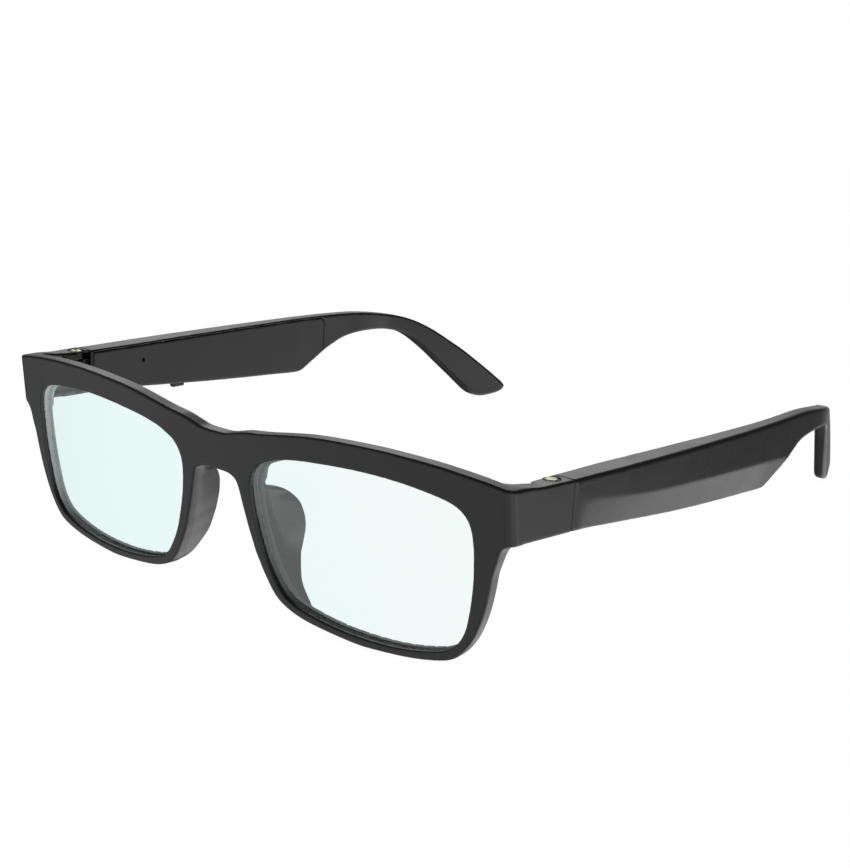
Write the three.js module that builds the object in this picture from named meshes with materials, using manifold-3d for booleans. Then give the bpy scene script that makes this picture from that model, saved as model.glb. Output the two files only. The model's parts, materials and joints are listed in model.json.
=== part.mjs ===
// Smart glasses: a moulded full-rim front with two lenses, and two folding temples that
// each carry a battery, a circuit board, a microphone, a speaker, a sprung push button
// and two charging contacts behind an inner cover.
//
// Millimetres, +Z up. The front faces -Y and the temples run to +Y. +X is the wearer's
// left. The part stands on the bottoms of its two rims and on its two temple tips, with
// its origin at the bottom centre of its bounding box.
//
// The shapes are drawn in the frame's own axes, where the hinge axes are vertical and
// z = 0 lies near the top of the rims. The stance group then tips everything back by
// STANCE_DEG so that rims and temple tips stand on one plane.
import * as THREE from 'three';
import { mergeVertices } from 'three/addons/utils/BufferGeometryUtils.js';
import Module from 'manifold-3d';

const wasm = await Module();
wasm.setup();

// ---------------------------------------------------------------- driving dimensions
const STANCE_DEG = 4.185;         // tips the frame back onto the temple tips

const FRONT_THICK = 3.6;          // front, face to back
const WRAP_RADIUS = 386.3;        // plan radius of the front's curve
const RAKE = 0.1312;              // run of the front face per mm of drop
const CORNER_R = 2.4;             // plan radius where the front turns into the end piece

const LENS_THICK = 1.8;
const LENS_SET = 1.2;             // lens front behind the rim's front face
const LENS_BITE = 0.8;            // how far the lens edge sits in the rim's groove
const GAP = 0.3;                  // clearance between neighbouring pieces

const HINGE_X = 69.5;             // hinge axis
const HINGE_Y = 21.8;
const KNUCKLE_R = 1.7;
const KNUCKLE_BORE = 1.0;
const PIN_R = 0.7;
const FRONT_KNUCKLES = [[-3.9, -2.8], [-6.9, -5.6], [-10.3, -8.8]];   // z of each knuckle
const TEMPLE_KNUCKLES = [[-5.3, -4.2], [-8.5, -7.2]];
const END_TOP = -1.9;             // end piece top and bottom
const END_BOTTOM = -12.5;
const END_BACK = 24.7;            // rear face of the end piece
const TEMPLE_FRONT = 25.0;        // front face of the temple

const WALL = 0.8;                 // temple shell wall
const COVER_THICK = 0.8;          // inner cover
const COVER_FRONT = 25.9;
const COVER_BACK = 108.8;
const CAVITY_FRONT = 37.2;        // hollow for the electronics; solid around the hinge leaf
const CAVITY_BACK = 105.5;

// Outline of the front, right half, as (x, z): top edge from the middle outwards.
const TOP_EDGE = [[0, -3.8], [3.4, -3.7], [6.3, -3.0], [9.3, -2.3], [13.9, -1.7], [19.3, -0.8],
  [24.4, 0.0], [29.5, 0.5], [34.3, 0.75], [39.1, 0.95], [43.8, 1.0], [48.1, 0.85], [52.4, 0.65],
  [56.8, 0.35], [61, -0.1], [65.1, -0.6], [68, -1.05], [70.6, -1.4]];
// Then down the temporal side, along the bottom, up the nasal side and under the bridge.
const LOWER_EDGE = [[71.5, -12.5], [70.2, -12.75], [69.2, -13.6], [68.6, -14.9], [68.1, -16.7], [67.3, -19.1],
  [66.85, -21.4], [66.35, -23.8], [65.75, -26.2], [65.05, -28.5], [64.2, -30.7], [63.15, -33.0],
  [61.85, -35.1], [60.3, -37.0], [58.5, -38.4], [55.9, -39.4], [51.3, -40.35], [46.9, -40.9], [40.8, -41.3],
  [37.1, -41.4], [33.3, -41.15], [27.3, -40.5], [22.4, -39.7], [18.7, -38.5], [16.1, -37.0],
  [14.4, -35.2], [13.2, -33.3], [12.1, -31.4], [11.1, -29.4], [10.2, -27.5], [9.5, -25.4],
  [8.8, -23.4], [8.2, -21.4], [7.6, -19.3], [7.05, -17.3], [6.55, -15.2], [5.9, -13.5], [4.9, -12.7],
  [3.4, -12.2], [0, -12.1]];
// Clear opening for the lens, right half, as (x, z).
const APERTURE = [[12.6, -8.5], [14.6, -7.5], [17.5, -6.4], [22.8, -5.4], [29.5, -4.75], [34.1, -4.45],
  [38.8, -4.3], [43.4, -4.35], [48, -4.6], [52.4, -5.1], [56.7, -5.8], [59.2, -6.5], [61.0, -7.5],
  [62.3, -9.0], [63.0, -10.8], [63.3, -12.7], [63.45, -15], [63.4, -18], [63.3, -20.5],
  [63.1, -22.6], [62.8, -24.9], [62.45, -27], [62.05, -29], [61.5, -31.2], [60.6, -33.3],
  [59.2, -35.2], [57.1, -36.8], [53.5, -38.0], [49, -38.9], [44, -39.45], [39, -39.6],
  [34, -39.45], [29.7, -39.05], [25.5, -38.4], [21.5, -37.5], [18.7, -36.3], [16.8, -34.6],
  [15.3, -32.4], [14, -30.1], [13, -27.8], [12.25, -25.5], [11.6, -23.3], [11.05, -21.2],
  [10.6, -19.1], [10.3, -17], [10.1, -14.7], [10.2, -12.5], [11.0, -10.3]];

// Nose pad, as [front x, z on the rim] and [x, depth behind the front face, z at its rear edge].
const PAD = [
  [[7.3, -16.6], [10.9, 8.1, -16.3]],
  [[7.5, -18.2], [12.0, 10.7, -18.0]],
  [[8.2, -20.9], [12.4, 12.0, -20.6]],
  [[9.2, -24.0], [12.9, 11.6, -23.6]],
  [[10.3, -27.2], [13.5, 10.8, -26.9]],
  [[12.0, -30.8], [13.9, 9.2, -31.0]],
  [[13.5, -33.4], [14.8, 7.8, -33.4]],
  [[15.4, -35.8], [16.4, 6.4, -36.0]],
  [[18.0, -37.8], [18.4, 4.6, -37.9]]];
const PAD_THICK = 1.9;

// Temple, left side, as a chain of stations: [y, z] on the top edge and on the bottom edge.
const TEMPLE = [
  [[25, -2.1], [25, -12.4]], [[32, -2.13], [32, -13.05]], [[40, -2.17], [40, -13.8]],
  [[50, -2.2], [50, -14.7]], [[60, -2.25], [60, -15.55]], [[70, -2.3], [70, -16.25]],
  [[80, -2.35], [80, -16.85]], [[90, -2.4], [90, -17.35]], [[96, -2.4], [96, -17.68]],
  [[99.4, -2.42], [99.4, -17.75]], [[101.5, -2.43], [101.5, -17.2]], [[104, -2.45], [104, -15.75]],
  [[107, -2.47], [107, -14.0]], [[110.4, -2.5], [110.4, -12.0]], [[115.9, -2.6], [115.7, -9.6]],
  [[120.8, -2.8], [120.3, -8.7]], [[125.4, -3.2], [124.6, -8.35]], [[129.6, -3.7], [128.3, -8.25]],
  [[133.5, -4.25], [131.4, -8.35]], [[137.3, -5.0], [134.2, -8.75]], [[141, -6.2], [137, -9.4]],
  [[144.9, -8.0], [140, -10.9]], [[148.6, -10.1], [143.1, -13.2]], [[152.4, -12.6], [146.5, -16.2]],
  [[156.5, -15.3], [150.1, -19.7]], [[160.6, -18.4], [153.7, -23.1]], [[164.7, -21.6], [157, -26.3]],
  [[168.1, -24.4], [159.3, -28.4]], [[170.2, -26.1], [161.3, -29.6]], [[171, -27.4], [163.6, -30.2]],
  [[170.4, -28.6], [166.2, -29.9]]];
const OUTER_X = [[25, 73.0], [32, 73.3], [39, 73.7], [46, 73.95], [52, 74.15], [66, 74.4], [88, 74.4],
  [96, 74.2], [103, 73.9], [111, 73.4], [118, 72.8], [124, 72.3], [129, 71.7], [133, 70.8], [138, 68.9],
  [144, 66.3], [150.6, 63.6], [157.3, 60.9], [163.3, 58.5], [168, 56.6], [172, 55.0]];
const INNER_X = [[25, 67.7], [40, 68.0], [47, 68.4], [54, 68.75], [61, 69.1], [69, 69.4], [76, 69.8],
  [84, 70.05], [92, 70.25], [99, 70.3], [107, 70.0], [114, 69.5], [118, 69.2], [124, 68.8], [129, 68.1],
  [133, 67.2], [138, 65.3], [144, 62.7], [150.6, 60.0], [157.3, 57.3], [163.3, 54.9], [168, 53.0],
  [172, 51.4]];
const CREASE_Z = [[25, -6.6], [30, -6.9], [50, -8.9], [69, -9.8], [90, -10.6], [100, -11.0], [111, -11.6], [120, -11.8]];
const CHAMFER = [[25, 0.0], [27, 0.3], [30, 0.85], [35, 1.15], [45, 1.4], [60, 1.65], [94, 1.8], [100, 1.45], [106, 0.62], [110, 0.05], [112, 0.0], [126, 0.0]];
const INNER_LIFT = 0.8;           // the bottom edge is this much higher on the inner side

// Pieces inside the temple, as y ranges.
const BOARD_Y = [38.5, 58.5];
const BATTERY_Y = [62, 82];
const SPEAKER_Y = [85.5, 97.5];
const GRILLE_Y = [86.5, 96];
const BUTTON_Y = [53.5, 57.3];
const MIC_Y = 41.9;
const MIC_Z = -6.4;
const CONTACT_Y = [66.5, 72.5];

// ---------------------------------------------------------------- helpers
const lerp = (a, b, t) => a + (b - a) * t;
// A smooth curve through a table of [input, output] rows.
function table(rows) {
  return (q) => {
    const n = rows.length;
    if (q <= rows[0][0]) return rows[0][1];
    if (q >= rows[n - 1][0]) return rows[n - 1][1];
    let i = 0;
    while (q > rows[i + 1][0]) i++;
    const [x0, y0] = rows[i], [x1, y1] = rows[i + 1], h = x1 - x0, t = (q - x0) / h;
    const slope = (j) => (j <= 0 ? (rows[1][1] - rows[0][1]) / (rows[1][0] - rows[0][0])
      : j >= n - 1 ? (rows[n - 1][1] - rows[n - 2][1]) / (rows[n - 1][0] - rows[n - 2][0])
        : (rows[j + 1][1] - rows[j - 1][1]) / (rows[j + 1][0] - rows[j - 1][0]));
    const m0 = slope(i) * h, m1 = slope(i + 1) * h, t2 = t * t, t3 = t2 * t;
    return y0 * (2 * t3 - 3 * t2 + 1) + m0 * (t3 - 2 * t2 + t) + y1 * (3 * t2 - 2 * t3) + m1 * (t3 - t2);
  };
}
const frontY = (x, z) => (x * x) / (2 * WRAP_RADIUS) - RAKE * z;
const outerX = table(OUTER_X), innerX = table(INNER_X);
const creaseZ = table(CREASE_Z), chamfer = table(CHAMFER);
const BODY = TEMPLE.slice(0, 14);
const topZ = table(BODY.map((s) => s[0])), bottomZ = table(BODY.map((s) => s[1]));
// Outer face of the temple at height z: vertical above the crease, chamfered inwards below it.
function outerAt(y, z, zBottom) {
  const c = creaseZ(y);
  return outerX(y) - chamfer(y) * THREE.MathUtils.clamp((c - z) / (c - zBottom), 0, 1);
}

// A closed geometry as a solid, turned to face outwards.
function solid(geometry) {
  const g = geometry.clone();
  g.deleteAttribute('normal');
  g.deleteAttribute('uv');
  const m = mergeVertices(g, 1e-5);
  const p = m.attributes.position.array, t = Array.from(m.index.array);
  let volume = 0;
  const a = new THREE.Vector3(), b = new THREE.Vector3(), c = new THREE.Vector3();
  for (let i = 0; i < t.length; i += 3) {
    a.fromArray(p, t[i] * 3); b.fromArray(p, t[i + 1] * 3); c.fromArray(p, t[i + 2] * 3);
    volume += a.dot(b.cross(c));
  }
  if (volume < 0) for (let i = 0; i < t.length; i += 3) [t[i + 1], t[i + 2]] = [t[i + 2], t[i + 1]];
  return new wasm.Manifold(new wasm.Mesh({
    numProp: 3, vertProperties: new Float32Array(p), triVerts: new Uint32Array(t),
  }));
}

// A box of nu x nv x nw cells whose corners are carried to map(u, v, w), each from 0 to 1.
function morph(nu, nv, nw, map) {
  const g = new THREE.BoxGeometry(1, 1, 1, nu, nv, nw);
  const p = g.attributes.position, snap = (q, n) => Math.round((q + 0.5) * n) / n;
  for (let i = 0; i < p.count; i++) {
    const [x, y, z] = map(snap(p.getX(i), nu), snap(p.getY(i), nv), snap(p.getZ(i), nw));
    p.setXYZ(i, x, y, z);
  }
  return solid(g);
}

function block(x0, x1, y0, y1, z0, z1) {
  return solid(new THREE.BoxGeometry(x1 - x0, y1 - y0, z1 - z0)
    .translate((x0 + x1) / 2, (y0 + y1) / 2, (z0 + z1) / 2));
}

function disc(r, z0, z1, x = HINGE_X, y = HINGE_Y, sides = 20) {
  return solid(new THREE.CylinderGeometry(r, r, z1 - z0, sides).rotateX(Math.PI / 2)
    .translate(x, y, (z0 + z1) / 2));
}

// A short round bar along X.
function bar(r, x0, x1, y, z, sides = 14) {
  return solid(new THREE.CylinderGeometry(r, r, x1 - x0, sides).rotateZ(Math.PI / 2)
    .translate((x0 + x1) / 2, y, z));
}

// A plan outline (x, y) raised from z0 to z1.
function plan(points, z0, z1) {
  const shape = new THREE.Shape(points.map(([x, y]) => new THREE.Vector2(x, y)));
  return solid(new THREE.ExtrudeGeometry(shape, { depth: z1 - z0, bevelEnabled: false }).translate(0, 0, z0));
}

// An outline (x, z) with holes, as a flat slab from depth d0 to d1; depth runs along +Y.
function slab(outline, holes, d0, d1) {
  const shape = new THREE.Shape(THREE.ShapeUtils.isClockWise(outline) ? [...outline].reverse() : outline);
  for (const h of holes) shape.holes.push(new THREE.Path(h));
  const g = new THREE.ExtrudeGeometry(shape, { depth: d1 - d0, bevelEnabled: false });
  const p = g.attributes.position;
  for (let i = 0; i < p.count; i++) p.setXYZ(i, p.getX(i), p.getZ(i) + d0, p.getY(i));
  return solid(g);
}

// Carries a flat slab onto the wrapped, raked face of the front. Long edges are split
// first, at their middles in every triangle that shares them, so the curve stays smooth.
function wrap(flat, longest = 11) {
  const mesh = flat.getMesh();
  const v = Array.from(mesh.vertProperties);
  let t = Array.from(mesh.triVerts);
  for (;;) {
    const middles = new Map();
    const middle = (a, b) => middles.get(a < b ? `${a},${b}` : `${b},${a}`);
    for (let i = 0; i < t.length; i += 3) {
      for (let e = 0; e < 3; e++) {
        const a = t[i + e], b = t[i + (e + 1) % 3];
        const key = a < b ? `${a},${b}` : `${b},${a}`;
        if (!middles.has(key) && Math.abs(v[a * 3] - v[b * 3]) > longest) {
          middles.set(key, v.length / 3);
          for (let k = 0; k < 3; k++) v.push((v[a * 3 + k] + v[b * 3 + k]) / 2);
        }
      }
    }
    if (!middles.size) break;
    const next = [];
    for (let i = 0; i < t.length; i += 3) {
      const c = [t[i], t[i + 1], t[i + 2]];
      const m = [middle(c[0], c[1]), middle(c[1], c[2]), middle(c[2], c[0])];
      const count = m.filter((q) => q !== undefined).length;
      if (count === 0) next.push(...c);
      else if (count === 3) next.push(c[0], m[0], m[2], m[0], c[1], m[1], m[2], m[1], c[2], m[0], m[1], m[2]);
      else {
        // Turn the triangle until its first edge is split and, with two, its third is not.
        let r = 0;
        while (!(m[r] !== undefined && (count === 1 || m[(r + 1) % 3] !== undefined))) r++;
        const [a, b, d] = [c[r], c[(r + 1) % 3], c[(r + 2) % 3]];
        const p = m[r], q = m[(r + 1) % 3];
        if (count === 1) next.push(a, p, d, p, b, d);
        else next.push(p, b, q, a, p, q, a, q, d);
      }
    }
    t = next;
  }
  for (let i = 0; i < v.length; i += 3) v[i + 1] += frontY(v[i], v[i + 2]);
  return new wasm.Manifold(new wasm.Mesh({
    numProp: 3, vertProperties: new Float32Array(v), triVerts: new Uint32Array(t),
  }));
}

function mirror(body) {
  const mesh = body.getMesh();
  const v = Float32Array.from(mesh.vertProperties), t = Uint32Array.from(mesh.triVerts);
  for (let i = 0; i < v.length; i += 3) v[i] = -v[i];
  for (let i = 0; i < t.length; i += 3) { const q = t[i + 1]; t[i + 1] = t[i + 2]; t[i + 2] = q; }
  return new wasm.Manifold(new wasm.Mesh({ numProp: 3, vertProperties: v, triVerts: t }));
}

const join = (...parts) => parts.reduce((a, b) => a.add(b));
const cut = (a, ...parts) => parts.reduce((x, b) => x.subtract(b), a);

function spline(points, spacing) {
  const curve = new THREE.SplineCurve(points.map(([x, z]) => new THREE.Vector2(x, z)));
  return curve.getSpacedPoints(Math.max(2, Math.round(curve.getLength() / spacing)));
}

function closedSpline(points, count) {
  const curve = new THREE.CatmullRomCurve3(points.map(([x, z]) => new THREE.Vector3(x, z, 0)), true, 'catmullrom', 0.5);
  return curve.getSpacedPoints(count).slice(0, count).map((q) => new THREE.Vector2(q.x, q.y));
}

// A closed outline moved outwards by d.
function offset(loop, d) {
  const n = loop.length;
  let area = 0;
  for (let i = 0; i < n; i++) area += loop[i].cross(loop[(i + 1) % n]);
  const s = area > 0 ? 1 : -1;
  return loop.map((q, i) => {
    const e = loop[(i + 1) % n].clone().sub(loop[(i + n - 1) % n]).normalize();
    return new THREE.Vector2(q.x + s * e.y * d, q.y - s * e.x * d);
  });
}
const flipX = (loop) => loop.map((q) => new THREE.Vector2(-q.x, q.y)).reverse();

// ---------------------------------------------------------------- front frame
const top = spline(TOP_EDGE, 5.5), lower = spline(LOWER_EDGE, 3.1);
const half = [...top, new THREE.Vector2(71.5, -2.2), ...lower];
const outline = [...half, ...flipX(half.slice(1, -1))];
const opening = closedSpline(APERTURE, 48);
const openings = (d) => { const o = offset(opening, d); return [o, flipX(o)]; };

let flat = slab(outline, openings(0), 0, FRONT_THICK);
for (const groove of openings(LENS_BITE + GAP)) {
  flat = flat.subtract(slab(groove, [], LENS_SET - GAP, LENS_SET + LENS_THICK + GAP));
}
// Rounds the outer corners in plan.
const corner = cut(block(71.5 - CORNER_R, 74, -1, CORNER_R, -16, 3),
  disc(CORNER_R, -17, 4, 71.5 - CORNER_R, CORNER_R, 32));
flat = cut(flat, corner, mirror(corner));

// Nose pads flare backwards and outwards from the nasal side of the rim.
const pad = morph(1, PAD.length - 1, 4, (u, v, w) => {
  const [[ex, ez], [rx, rd, rz]] = PAD[Math.round(v * (PAD.length - 1))];
  const bow = 0.5 * Math.sin(Math.PI * w);
  const thick = lerp(2.3, PAD_THICK, w) * (w === 1 ? 0.75 : 1);
  return [lerp(ex, rx, w) - bow + u * thick, lerp(2.2, rd, w), lerp(ez, rz, w)];
});
flat = join(flat, pad, mirror(pad));
// The pads stay out of the lens grooves.
for (const groove of openings(LENS_BITE + GAP)) {
  flat = flat.subtract(slab(groove, [], LENS_SET - GAP, LENS_SET + LENS_THICK + GAP));
}
let front = wrap(flat);

// End pieces run back from the front's corners and hold the hinges on their inner side.
const endPlan = [[65.6, 9.3], [71.4, 9.3], [71.9, 14.0], [72.45, 19.5], [73.0, END_BACK],
  [68.2, END_BACK], [68.2, 17.9], [68.9, 17.2], [68.9, 14.6], [68.0, 12.6], [66.4, 11.4]];
let endPiece = plan(endPlan, END_BOTTOM, END_TOP);
endPiece = cut(endPiece,
  block(60, 71.0, 20.6, 26, -11.3, -2.5),                            // room for knuckles and temple tongue
  disc(KNUCKLE_R + GAP, -11.3, 0, HINGE_X, HINGE_Y, 24),             // screw head shows from above
  block(60, 70.4, 17.9, 21, -11.3, -2.5));                           // links of the front knuckles
const leafScrewY = 16.2, leafScrewZ = -7.1;
endPiece = endPiece.subtract(bar(0.95, 69, 71.5, leafScrewY, leafScrewZ));
front = join(front, endPiece, mirror(endPiece));
// Seat of the front leaf, clear of the rim's back as well.
const leafSeat = block(60, 70.3, 12.9, 21, -11.3, -2.9);
front = cut(front, leafSeat, mirror(leafSeat));

// ---------------------------------------------------------------- lenses
const lens = wrap(slab(openings(LENS_BITE)[0], [], LENS_SET, LENS_SET + LENS_THICK), 11);

// ---------------------------------------------------------------- hinge
const link = (z0, z1, y0, y1) => block(HINGE_X - 0.6, HINGE_X + 0.6, y0, y1, z0, z1);
let frontLeaf = block(68.7, 70.0, 13.2, 19.3, -11.0, -3.2);
for (const [z0, z1] of FRONT_KNUCKLES) frontLeaf = join(frontLeaf, disc(KNUCKLE_R, z0, z1), link(z0, z1, 18.2, HINGE_Y));
frontLeaf = cut(frontLeaf, disc(KNUCKLE_BORE, -13, 0, HINGE_X, HINGE_Y, 16), bar(0.9, 67, 70, leafScrewY, leafScrewZ),
  bar(1.5, 67, 69.4, leafScrewY, leafScrewZ));
const lathe = (profile, sides) => solid(new THREE.LatheGeometry(profile.map(([r, h]) => new THREE.Vector2(r, h)), sides).rotateX(Math.PI / 2));
const at = (body, x, y, z) => body.translate([x, y, z]);
const hingeScrew = at(lathe([[0, -10.9], [PIN_R, -10.9], [PIN_R, -2.5], [1.35, -2.5], [1.35, -2.05], [1.1, -1.75], [0, -1.75]], 20), HINGE_X, HINGE_Y, 0);
// Leaf screws lie along X, their heads sunk in the inner side of the leaf.
const leafScrew = (y, z, x, length) => {
  const g = new THREE.LatheGeometry([[0, 0], [0.6, 0], [0.6, -length], [1.2, -length], [1.1, -length - 0.4], [0, -length - 0.4]]
    .map(([r, h]) => new THREE.Vector2(r, h)), 14).rotateZ(-Math.PI / 2).translate(x, y, z);
  return solid(g);
};
const frontScrew = leafScrew(leafScrewY, leafScrewZ, 71.2, 2.1);

const templeLeafScrewY = 32.4, templeLeafScrewZ = -6.6;
let templeLeaf = block(69.0, 70.1, 26.4, 36, -9.3, -3.6);
for (const [z0, z1] of TEMPLE_KNUCKLES) templeLeaf = join(templeLeaf, disc(KNUCKLE_R, z0, z1), link(z0, z1, HINGE_Y, 27));
templeLeaf = cut(templeLeaf, disc(KNUCKLE_BORE, -13, 0, HINGE_X, HINGE_Y, 16), bar(0.9, 68, 71, templeLeafScrewY, templeLeafScrewZ),
  bar(1.5, 68, 69.65, templeLeafScrewY, templeLeafScrewZ));
const templeScrew = leafScrew(templeLeafScrewY, templeLeafScrewZ, 71.9, 2.55);

// ---------------------------------------------------------------- temple
const stations = TEMPLE.length - 1;
const templeBody = morph(1, 2, stations, (u, v, w) => {
  const [[ty, tz], [by, bz]] = TEMPLE[Math.round(w * stations)];
  const chain = v === 0 ? 0 : v === 1 ? 1 : THREE.MathUtils.clamp((creaseZ(by) - bz) / (tz - bz), 0.3, 0.7);
  const y = lerp(by, ty, chain);
  let z = lerp(bz, tz, chain);
  const fade = THREE.MathUtils.clamp((y - 100) / 20, 0, 1);
  const xo = outerX(y) - (v === 0 ? chamfer(by) : 0), xi = innerX(y);
  if (v === 0) z += INNER_LIFT * (1 - u) * (1 - fade);
  return [lerp(xi, xo, u), y, z];
});
// A region of the temple between y0 and y1, inset from its inner, outer, top and bottom faces.
function within(y0, y1, inner, outer, topInset, bottomInset, thick = null, cells = null) {
  const n = cells ?? Math.max(1, Math.round((y1 - y0) / 9));
  return morph(1, 2, n, (u, v, w) => {
    const y = lerp(y0, y1, w), zb = bottomZ(y), zt = topZ(y), c = creaseZ(y);
    const z = v === 0 ? zb + bottomInset + INNER_LIFT * (thick === null ? 1 - u : 1) : v === 1 ? zt - topInset : Math.min(c, zt - topInset - 1);
    const xi = innerX(y) + inner;
    const xo = thick === null ? outerAt(y, z, zb) - outer : xi + thick;
    return [lerp(xi, xo, u), y, z];
  });
}
const cavity = within(CAVITY_FRONT, CAVITY_BACK, COVER_THICK + 0.1, WALL, 1.3, WALL + 0.1, null, 15);
// The cover's seat, open on the inner side and along the bottom edge.
const coverCells = 14;
const coverShape = (grow, inner) => morph(1, 1, coverCells, (u, v, w) => {
  const y = lerp(COVER_FRONT - grow, COVER_BACK + grow, w);
  const z = v === 0 ? bottomZ(y) + INNER_LIFT - (grow ? 3 : -0.12) : topZ(y) - 0.7 + grow;
  return [innerX(y) + (u === 0 ? (grow ? -3 : 0) : COVER_THICK + inner), y, z];
});
let shell = cut(templeBody, cavity, coverShape(0.2, GAP));
const buttonX = [69.9, 71.5];
shell = cut(shell,
  block(buttonX[0] - GAP, buttonX[1] + GAP, BUTTON_Y[0] - GAP, BUTTON_Y[1] + GAP, -18, -12.6),
  block(68.3, 70.4, 24, 27, -9.0, -3.7),                                 // tongue of the temple leaf
  block(68.3, 70.4, 26.1, 36.3, -9.6, -3.3),                             // seat of the temple leaf
  bar(0.9, 69, 72.2, templeLeafScrewY, templeLeafScrewZ));

// Bottom wall openings: the speaker's grille and the charging contacts.
const grilleMid = (GRILLE_Y[0] + GRILLE_Y[1]) / 2;
const under = (y) => bottomZ(y) + 0.42;          // underside at the middle of its width
const grilleX = [71.35, 72.3];
const grilleBox = (grow) => morph(1, 1, 3, (u, v, w) => {
  const y = lerp(GRILLE_Y[0] - grow, GRILLE_Y[1] + grow, w);
  return [lerp(grilleX[0] - grow, grilleX[1] + grow, u), y, v === 0 ? under(y) - (grow ? 2 : -0.1) : under(y) + (grow ? 2.2 : 0.75)];
});
shell = cut(shell, grilleBox(0.25));
let grille = grilleBox(0);
for (let i = 0; i < 7; i++) {
  const y = lerp(GRILLE_Y[0] + 0.9, GRILLE_Y[1] - 0.9, i / 6);
  grille = grille.subtract(block(71.58, 72.07, y - 0.3, y + 0.3, -19, -14));
}
const contacts = CONTACT_Y.map((y) => {
  const z = under(y), x = 71.3;
  shell = shell.subtract(solid(new THREE.CylinderGeometry(0.95, 0.95, 4, 16).rotateX(Math.PI / 2).translate(x, y, z)));
  return at(lathe([[0, 0], [0.45, 0], [0.65, 0.12], [0.65, 1.35], [0, 1.35]], 16), x, y, z - 0.1);
});
let cover = coverShape(0, 0);
cover = cut(cover, bar(0.5, 66, 70, MIC_Y, MIC_Z, 12));

const boardX = 71.6;
const board = morph(1, 1, 4, (u, v, w) => {
  const y = lerp(...BOARD_Y, w);
  return [outerX(y) - WALL - 0.5 - 0.8 * (1 - u), y, v === 0 ? creaseZ(y) - 1.2 : -4.1];
});
const battery = within(...BATTERY_Y, COVER_THICK + 0.45, WALL + 0.35, 1.9, WALL + 1.9);
const speaker = within(...SPEAKER_Y, COVER_THICK + 0.45, WALL + 0.35, 5.2, WALL + 2.3);
const microphone = cut(block(69.4, 71.0, MIC_Y - 1.7, MIC_Y + 1.7, MIC_Z - 1.3, MIC_Z + 1.3),
  bar(0.4, 69, 70, MIC_Y, MIC_Z, 10));
const button = join(block(...buttonX, ...BUTTON_Y, -15.45, -12.8),
  block(buttonX[0], 71.95, BUTTON_Y[0] - 0.6, BUTTON_Y[1] + 0.6, -13.2, -12.8));
const tact = block(69.9, 71.9, 54.0, 56.8, -12.2, -11.0);

// ---------------------------------------------------------------- materials and assembly
const blackSatin = () => new THREE.MeshStandardMaterial({ color: 0x2b2b2d, roughness: 0.52, metalness: 0 });
const coverBlack = () => new THREE.MeshStandardMaterial({ color: 0x29292b, roughness: 0.58, metalness: 0 });
const lensClear = () => new THREE.MeshStandardMaterial({ color: 0xe6fbf9, roughness: 0.04, metalness: 0, transparent: true, opacity: 0.35 });
const bronze = () => new THREE.MeshStandardMaterial({ color: 0x4d4a38, roughness: 0.38, metalness: 0.9 });
const gold = () => new THREE.MeshStandardMaterial({ color: 0xcfc592, roughness: 0.28, metalness: 1 });
const steel = () => new THREE.MeshStandardMaterial({ color: 0x9a9a98, roughness: 0.35, metalness: 1 });
const foil = () => new THREE.MeshStandardMaterial({ color: 0xb8bcc0, roughness: 0.4, metalness: 0.6 });
const solder = () => new THREE.MeshStandardMaterial({ color: 0x16402c, roughness: 0.5, metalness: 0.1 });
const mesh = () => new THREE.MeshStandardMaterial({ color: 0x1b1b1c, roughness: 0.6, metalness: 0.4 });

function part(name, body, material) {
  const m = body.getMesh();
  const g = new THREE.BufferGeometry();
  g.setAttribute('position', new THREE.BufferAttribute(new Float32Array(m.vertProperties), 3));
  g.setIndex(new THREE.BufferAttribute(new Uint32Array(m.triVerts), 1));
  g.computeVertexNormals();
  const node = new THREE.Mesh(g, material);
  node.name = name;
  return node;
}

const glasses = new THREE.Group();
const stance = new THREE.Group();
stance.rotation.x = -THREE.MathUtils.degToRad(STANCE_DEG);
glasses.add(stance);
stance.add(part('front_frame', front, blackSatin()));

for (const [side, turn] of [['left', (b) => b], ['right', mirror]]) {
  const add = (name, body, material) => stance.add(part(`${name}_${side}`, turn(body), material));
  add('lens', lens, lensClear());
  add('hinge_front_leaf', frontLeaf, bronze());
  add('hinge_screw', hingeScrew, gold());
  add('front_leaf_screw', frontScrew, steel());
  add('hinge_temple_leaf', templeLeaf, bronze());
  add('temple_leaf_screw', templeScrew, steel());
  add('temple_shell', shell, blackSatin());
  add('temple_cover', cover, coverBlack());
  add('push_button', button, coverBlack());
  add('button_switch', tact, steel());
  add('circuit_board', board, solder());
  add('microphone', microphone, steel());
  add('battery', battery, foil());
  add('speaker', speaker, steel());
  add('speaker_grille', grille, mesh());
  add('charge_contact_front', contacts[0], gold());
  add('charge_contact_rear', contacts[1], gold());
}

// The origin moves to the bottom centre of the standing part's bounding box.
glasses.updateMatrixWorld(true);
const box = new THREE.Box3(), corner3 = new THREE.Vector3();
stance.traverse((o) => {
  if (!o.isMesh) return;
  const p = o.geometry.attributes.position;
  for (let i = 0; i < p.count; i++) box.expandByPoint(corner3.fromBufferAttribute(p, i).applyMatrix4(o.matrixWorld));
});
stance.position.set(0, -(box.min.y + box.max.y) / 2, -box.min.z);
glasses.updateMatrixWorld(true);

export default glasses;
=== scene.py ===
# Smart glasses: the visual model. Every visible plastic and metal piece is a fine mesh taken
# from a distance field in the frame's own axes (mm), then carried into the row frame (m).
import json
import math

import bmesh
import bpy
import numpy as np
from mathutils import Matrix, Vector


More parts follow.
